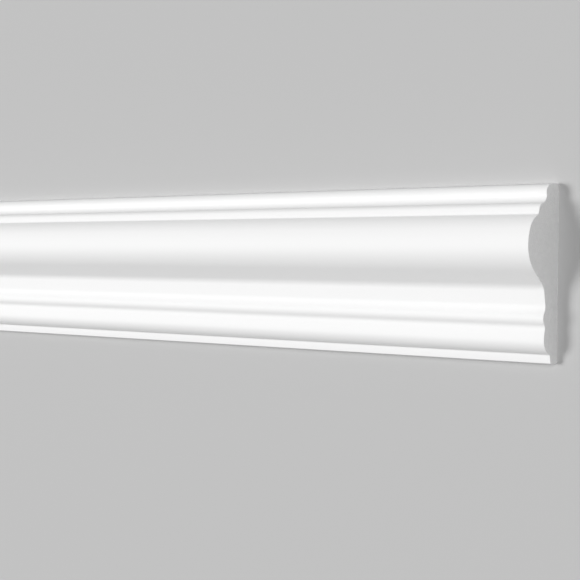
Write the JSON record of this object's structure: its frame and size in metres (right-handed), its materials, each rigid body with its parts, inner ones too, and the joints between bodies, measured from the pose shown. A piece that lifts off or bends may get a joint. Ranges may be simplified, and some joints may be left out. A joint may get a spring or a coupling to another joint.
{
  "type": "polymer chair rail moulding",
  "caption": "Straight length of white polymer wall moulding with a flat back and a stepped face of torus, bead, flat fascia, broad ogee crown, cove and rounded nose.",
  "frame": {"origin": "middle of the flat back, half way along the length and half way up the height", "axes": "+X along the length, towards the end that the picture shows; +Y towards the edge that is uppermost on a wall; +Z off the wall, out of the moulded face"},
  "size_m": [2, 0.1, 0.0251],
  "materials": {
    "polymer": "smooth matt white primer skin on hard polymer foam, bare foam on the sawn ends"
  },
  "bodies": {
    "root": {"moulding": "polymer"}
  },
  "joints": []
}
